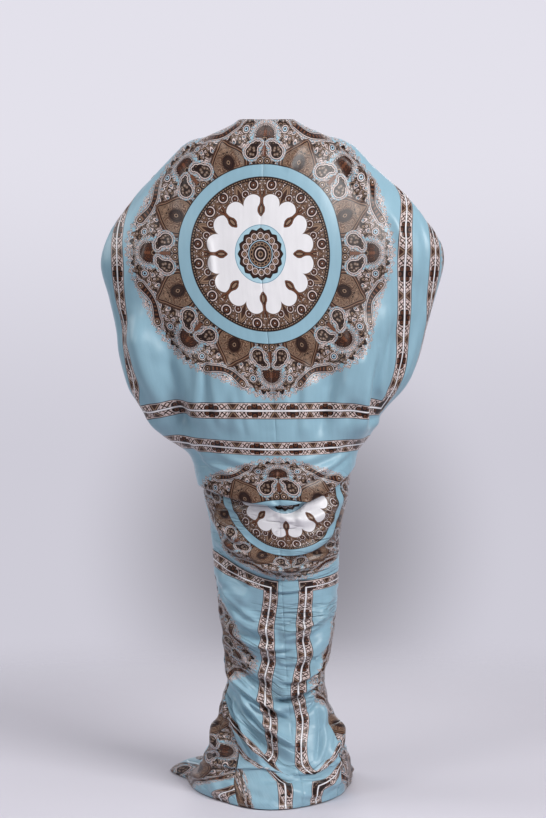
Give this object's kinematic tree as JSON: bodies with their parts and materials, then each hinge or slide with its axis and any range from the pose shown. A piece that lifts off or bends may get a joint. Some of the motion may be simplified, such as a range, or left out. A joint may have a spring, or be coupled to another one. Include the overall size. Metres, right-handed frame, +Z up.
{
  "type": "kaftan",
  "caption": "Floor-length silky kaftan, worn: wide cape over bent arms, bloused fold below the hips, narrow ruched skirt and hem pooled on the floor.",
  "frame": {"origin": "On the shoulder line at the middle of the neck, where the wearer's shoulders carry the garment; the floor is 1.500 m below.", "axes": "+Z up, +X towards the wearer's right, -Y out of the garment's back and +Y out of its front."},
  "size_m": [0.7881, 0.4118, 1.5369],
  "materials": {
    "printed_satin_back": "silky satin, sky blue with brown and white paisley scarf print",
    "printed_satin_front": "silky satin, sky blue with brown and white paisley scarf print",
    "printed_satin_skirt": "silky satin, sky blue with brown and white paisley scarf print, ruched"
  },
  "bodies": {
    "root": {"back_left": "printed_satin_back", "back_right": "printed_satin_back", "front": "printed_satin_front", "skirt_back_left": "printed_satin_skirt", "skirt_back_right": "printed_satin_skirt", "skirt_front": "printed_satin_skirt"}
  },
  "joints": []
}
